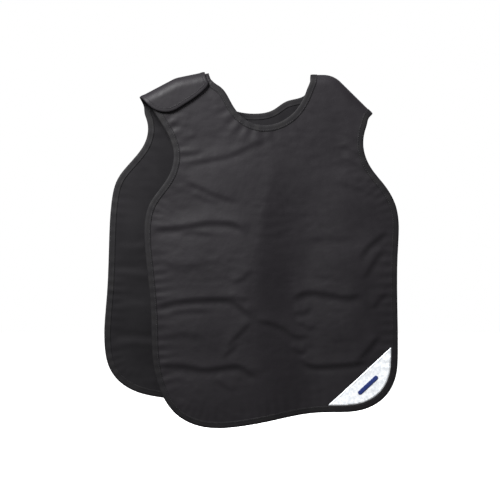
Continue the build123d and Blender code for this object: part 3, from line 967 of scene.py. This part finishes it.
# ------------------------------------------------------------------ what a user may change
class ApronSizes(bpy.types.PropertyGroup):
    """Sizes of the cloth's mesh and of the sewing."""

    cloth_grid: FloatProperty(
        name="Cloth grid", description="Spacing of the mesh of the covers and linings",
        default=4 * MM, min=2 * MM, max=20 * MM, unit="LENGTH")
    flap_grid: FloatProperty(
        name="Flap grid", description="Spacing of the mesh of the shoulder flap",
        default=3 * MM, min=1 * MM, max=10 * MM, unit="LENGTH")
    stitch: FloatProperty(
        name="Stitch length", description="Length of one stitch of the edge seams",
        default=4.2 * MM, min=2 * MM, max=8 * MM, unit="LENGTH")
    thread: FloatProperty(
        name="Thread thickness", description="Diameter of the edge seams' thread",
        default=0.8 * MM, min=0.3 * MM, max=1.5 * MM, unit="LENGTH")
    edge_seam: FloatProperty(
        name="Edge seam inset", description="Distance of the seam from the bound edge",
        default=9.8 * MM, min=3 * MM, max=11 * MM, unit="LENGTH")
    flap_seam: FloatProperty(
        name="Flap seam inset", description="Distance of the flap's seam from its edge",
        default=6.2 * MM, min=3 * MM, max=11 * MM, unit="LENGTH")
    label_seam: FloatProperty(
        name="Label seam inset", description="Distance of the label's seam from its edge",
        default=2.6 * MM, min=1 * MM, max=6 * MM, unit="LENGTH")


class ApronColours(bpy.types.PropertyGroup):
    """Colours of the cloths and of the label."""

    nylon: FloatVectorProperty(
        name="Nylon", description="Cover cloth", default=linear("171518"),
        size=4, min=0, max=1, subtype="COLOR")
    nylon_worn: FloatVectorProperty(
        name="Handled nylon", description="Cover cloth where it has been handled",
        default=linear("1A181B"), size=4, min=0, max=1, subtype="COLOR")
    lining: FloatVectorProperty(
        name="Lining", description="Inner cloth", default=linear("151416"),
        size=4, min=0, max=1, subtype="COLOR")
    lining_worn: FloatVectorProperty(
        name="Rubbed lining", description="Inner cloth where it has been rubbed",
        default=linear("1A191B"), size=4, min=0, max=1, subtype="COLOR")
    binding: FloatVectorProperty(
        name="Tape", description="Edge binding", default=linear("151416"),
        size=4, min=0, max=1, subtype="COLOR")
    binding_worn: FloatVectorProperty(
        name="Rubbed tape", description="Edge binding where it has been rubbed",
        default=linear("191819"), size=4, min=0, max=1, subtype="COLOR")
    label: FloatVectorProperty(
        name="Label", description="Corner label", default=linear("ECEEF0"),
        size=4, min=0, max=1, subtype="COLOR")
    label_shade: FloatVectorProperty(
        name="Label shade", description="Darker threads of the corner label",
        default=linear("CDD1D6"), size=4, min=0, max=1, subtype="COLOR")
    emblem: FloatVectorProperty(
        name="Emblem", description="Bar on the label", default=linear("16265C"),
        size=4, min=0, max=1, subtype="COLOR")


# ------------------------------------------------------------------ operators
def front_paths():
    """The bound edges of the front: down and round the sides, and round the neck."""
    neck_top, arm_top = tops(front_right, RIGHT_OVER)
    side = between(front_loop, front_left.start, arm_top, longer=True)
    neck = between(front_loop, front_left.end, neck_top, longer=False)
    return side, neck


def back_paths():
    """The bound edges of the back: down and round the sides, and round the neck."""
    arm_top, neck_top = tops(back_left, back_left.quarter)
    side = between(back_loop, arm_top, back_right.end, longer=True)
    neck = between(back_loop, neck_top, back_right.start, longer=False)
    return side, neck


class APRON_OT_front(bpy.types.Operator):
    """Cut, layer and drape the front panel with its sewn shoulder and its strap end"""

    bl_idname = "apron.front"
    bl_label = "Front panel"

    def execute(self, context):
        layers(
            "front", front_panel, front_loop, context.scene.apron_sizes.cloth_grid, over_right,
            {
                "cover": ("front_cover", "right_shoulder_cover", "front_strap_end_cover"),
                "shields": ("front_shield_outer", "front_shield_inner", "right_shoulder_shield",
                            "front_strap_end_shield"),
                "lining": ("front_lining", "right_shoulder_lining", "front_strap_end_lining"),
            })
        return {"FINISHED"}


class APRON_OT_front_edges(bpy.types.Operator):
    """Bind the front's edges with folded tape and sew it down"""

    bl_idname = "apron.front_edges"
    bl_label = "Front binding and seams"

    def execute(self, context):
        sizes = context.scene.apron_sizes
        side, neck = front_paths()
        bound("front_side_tape", front_panel, side, front_loop, over_right,
              ("front_side_binding", "right_shoulder_arm_binding"))
        bound("front_neck_tape", front_panel, neck, front_loop, over_right,
              ("front_neck_binding", "right_shoulder_neck_binding"))
        sewn("front_edge_seam", front_panel, (side, neck), front_loop, sizes.edge_seam,
             TAPE_T + 0.15 * MM, "black_thread", over_right, ("front_binding_thread",),
             sizes.stitch, sizes.thread)
        return {"FINISHED"}


class APRON_OT_label(bpy.types.Operator):
    """Sew the corner label with its plain bar on the front panel"""

    bl_idname = "apron.label"
    bl_label = "Corner label"

    def execute(self, context):
        sizes = context.scene.apron_sizes
        lift = FRONT_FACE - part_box("corner_label")[0][1]
        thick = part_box("corner_label")[1][1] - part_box("corner_label")[0][1]
        label = draped("corner_label_cloth", front_panel, label_flat, -lift, 3 * MM, thick,
                       finish_of("woven_label"))
        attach(label, "front_panel")
        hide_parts("corner_label")
        declared(label_flat)

        proud = FRONT_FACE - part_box("label_emblem")[0][1]
        bar_flat = resampled(outline_of("label_emblem", -1), 1 * MM, closed=True)
        bar = draped("label_bar", front_panel, bar_flat, -proud - 0.2 * MM, 1.5 * MM,
                     proud - lift + 0.15 * MM, finish_of("navy_embroidery"))
        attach(bar, "front_panel")
        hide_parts("label_emblem")
        declared(bar_flat)

        sewn("label_seam", front_panel, (np.vstack([label_flat, label_flat[:1]]),), label_flat,
             sizes.label_seam, lift + 0.1 * MM, "grey_thread",
             lambda piece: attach(piece, "front_panel"), ("label_thread",), 3.4 * MM, 0.7 * MM)
        return {"FINISHED"}


class APRON_OT_back(bpy.types.Operator):
    """Cut, layer and drape the back panel with its sewn left shoulder"""

    bl_idname = "apron.back"
    bl_label = "Back panel"

    def execute(self, context):
        layers(
            "back", back_panel, back_loop, context.scene.apron_sizes.cloth_grid, over_left,
            {
                "cover": ("back_cover", "left_shoulder_cover"),
                "shields": ("back_shield_outer", "back_shield_inner", "left_shoulder_shield"),
                "lining": ("back_lining", "left_shoulder_lining"),
            })
        return {"FINISHED"}


class APRON_OT_back_edges(bpy.types.Operator):
    """Bind the back's edges with folded tape and sew it down"""

    bl_idname = "apron.back_edges"
    bl_label = "Back binding and seams"

    def execute(self, context):
        sizes = context.scene.apron_sizes
        side, neck = back_paths()
        bound("back_side_tape", back_panel, side, back_loop, over_left,
              ("back_side_binding", "left_shoulder_arm_binding"))
        bound("back_neck_tape", back_panel, neck, back_loop, over_left,
              ("back_neck_binding", "left_shoulder_neck_binding"))
        sewn("back_edge_seam", back_panel, (side, neck), back_loop, sizes.edge_seam,
             TAPE_T + 0.15 * MM, "black_thread", over_left, ("back_binding_thread",),
             sizes.stitch, sizes.thread)
        return {"FINISHED"}


class APRON_OT_shoulder_seam(bpy.types.Operator):
    """Cover the sewn join between the right shoulder and the back with tape"""

    bl_idname = "apron.shoulder_seam"
    bl_label = "Shoulder seam tape"

    def execute(self, context):
        sizes = context.scene.apron_sizes
        line = back_right.line
        share = np.linspace(0, 1, len(line))[:, None]
        up = back_right.up_start * (1 - share) + back_right.up_end * share
        up = up / np.hypot(*up.T)[:, None]
        band = np.vstack([line + up * 7 * MM, (line - up * 7 * MM)[::-1]])
        band = resampled(band, 2 * MM, closed=True)
        tape_over = draped("shoulder_seam_tape", back_panel, band, -0.55 * MM, 2.5 * MM, 0.45 * MM,
                           finish_of("grosgrain_tape"))
        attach(tape_over, "back_panel")
        declared(band)
        sewn("shoulder_seam_thread", back_panel, (line + up * 4.5 * MM, line - up * 4.5 * MM), band,
             0.0, 0.7 * MM, "black_thread", lambda piece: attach(piece, "back_panel"), (),
             sizes.stitch, sizes.thread)
        return {"FINISHED"}


class APRON_OT_flap(bpy.types.Operator):
    """Cut the shoulder flap, layer it and turn its edge"""

    bl_idname = "apron.flap"
    bl_label = "Shoulder flap"

    def execute(self, context):
        sizes = context.scene.apron_sizes
        layers(
            "flap", flap_panel, flap_loop, sizes.flap_grid, over_crest,
            {"cover": ("flap_cover",), "shields": ("flap_shield",), "lining": ("flap_lining",)})
        arm_top, neck_top = tops(flap_fold, flap_fold.quarter)
        edge = between(flap_loop, arm_top, neck_top, longer=True)
        turned = tape("flap_turned_edge", flap_panel, edge, flap_loop, finish_of("coated_nylon"),
                      width=7.5 * MM, thick=0.45 * MM, step=3 * MM)
        over_crest(turned)
        sewn("flap_seam", flap_panel, (edge,), flap_loop, sizes.flap_seam, 0.55 * MM,
             "black_thread", over_crest, ("flap_thread",), sizes.stitch, sizes.thread)
        return {"FINISHED"}


class APRON_OT_closure(bpy.types.Operator):
    """Give the hook and loop strips their pile"""

    bl_idname = "apron.closure"
    bl_label = "Hook-and-loop strips"

    def execute(self, context):
        for strip_node, finish in (("loop_strip", "loop_pile"), ("hook_strip", "hook_rows")):
            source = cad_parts[strip_node]
            for place in source.material_slots:
                place.material = finish_of(finish)
        return {"FINISHED"}


class APRON_OT_stage(bpy.types.Operator):
    """Set the white floor, the soft lights and the camera"""

    bl_idname = "apron.stage"
    bl_label = "Floor, lights and camera"

    def execute(self, context):
        scene = context.scene
        ground = bmesh.new()
        bmesh.ops.create_grid(ground, x_segments=2, y_segments=2, size=6.0)
        bmesh.ops.translate(ground, verts=ground.verts, vec=(0, 0, FLOOR_Z))
        floor = finished("floor", ground, finish_of("studio_floor"))
        floor.visible_diffuse = False
        floor.visible_glossy = False

        world = bpy.data.worlds.new("soft_white")
        world.use_nodes = True
        background = world.node_tree.nodes["Background"]
        background.inputs["Color"].default_value = (1, 1, 1, 1)
        path = add(world.node_tree, "ShaderNodeLightPath")
        seen = add(world.node_tree, "ShaderNodeMapRange", None,
                   {"Value": path.outputs["Is Camera Ray"], "To Min": ROOM_LIGHT, "To Max": 1.0})
        world.node_tree.links.new(seen.outputs["Result"], background.inputs["Strength"])
        scene.world = world
        scene.view_settings.view_transform = "Standard"
        scene.view_settings.look = "None"

        for name, place, aim, size, power, gloss in LIGHTS:
            data = bpy.data.lights.new(name, "AREA")
            data.shape = "DISK"
            data.size = size
            data.energy = power
            lamp = bpy.data.objects.new(name, data)
            lamp.location = place
            lamp.rotation_euler = (Vector(aim) - Vector(place)).to_track_quat("-Z", "Y").to_euler()
            lamp.visible_glossy = gloss
            scene.collection.objects.link(lamp)

        ceiling = bpy.data.lights.new("ceiling_light", "SUN")
        ceiling.energy = 3.4
        ceiling.angle = radians(50)
        overhead = bpy.data.objects.new("ceiling_light", ceiling)
        overhead.visible_glossy = False
        scene.collection.objects.link(overhead)

        lens = bpy.data.cameras.new("camera")
        lens.lens = 90
        lens.sensor_width = 36
        lens.clip_end = 50
        camera = bpy.data.objects.new("camera", lens)
        camera.location = (0, FRONT_FACE - 2.5, -0.35)
        camera.rotation_euler = (pi / 2, 0, 0)
        scene.collection.objects.link(camera)
        scene.camera = camera
        return {"FINISHED"}


FLOOR_Z = -0.92
ROOM_LIGHT = 0.28
# Each light: its name, place, aim, size in metres, power in watts and whether it makes gloss
LIGHTS = (
    ("key_light", (-0.75, -0.95, 0.75), (0.0, 0.0, -0.1), 0.6, 60.0, True),
    ("shoulder_light", (0.55, -0.75, 0.6), (0.18, 0.0, -0.02), 0.4, 7.5, False),
    ("back_light", (0.95, 1.15, 0.45), (0.0, 0.0, -0.3), 0.5, 120.0, False),
)


class APRON_PT_panel(bpy.types.Panel):
    """Lists the apron's settings and its pieces"""

    bl_idname = "APRON_PT_panel"
    bl_label = "Lead apron"
    bl_space_type = "VIEW_3D"
    bl_region_type = "UI"
    bl_category = "Apron"

    def draw(self, context):
        layout = self.layout
        for group in (context.scene.apron_sizes, context.scene.apron_colours):
            box = layout.box()
            for name in group.__annotations__:
                box.prop(group, name)
        for operator in OPERATORS:
            layout.operator(operator.bl_idname)


OPERATORS = (
    APRON_OT_front, APRON_OT_front_edges, APRON_OT_label, APRON_OT_back, APRON_OT_back_edges,
    APRON_OT_shoulder_seam, APRON_OT_flap, APRON_OT_closure, APRON_OT_stage,
)
CLASSES = (ApronSizes, ApronColours, *OPERATORS, APRON_PT_panel)


def register():
    for each in CLASSES:
        bpy.utils.register_class(each)
    bpy.types.Scene.apron_sizes = PointerProperty(type=ApronSizes)
    bpy.types.Scene.apron_colours = PointerProperty(type=ApronColours)


def unregister():
    del bpy.types.Scene.apron_colours
    del bpy.types.Scene.apron_sizes
    for each in reversed(CLASSES):
        bpy.utils.unregister_class(each)


def main():
    register()
    bpy.ops.apron.front()
    bpy.ops.apron.front_edges()
    bpy.ops.apron.label()
    bpy.ops.apron.back()
    bpy.ops.apron.back_edges()
    bpy.ops.apron.shoulder_seam()
    bpy.ops.apron.flap()
    bpy.ops.apron.closure()
    bpy.ops.apron.stage()
    bpy.context.view_layer.update()


if __name__ == "__main__":
    main()
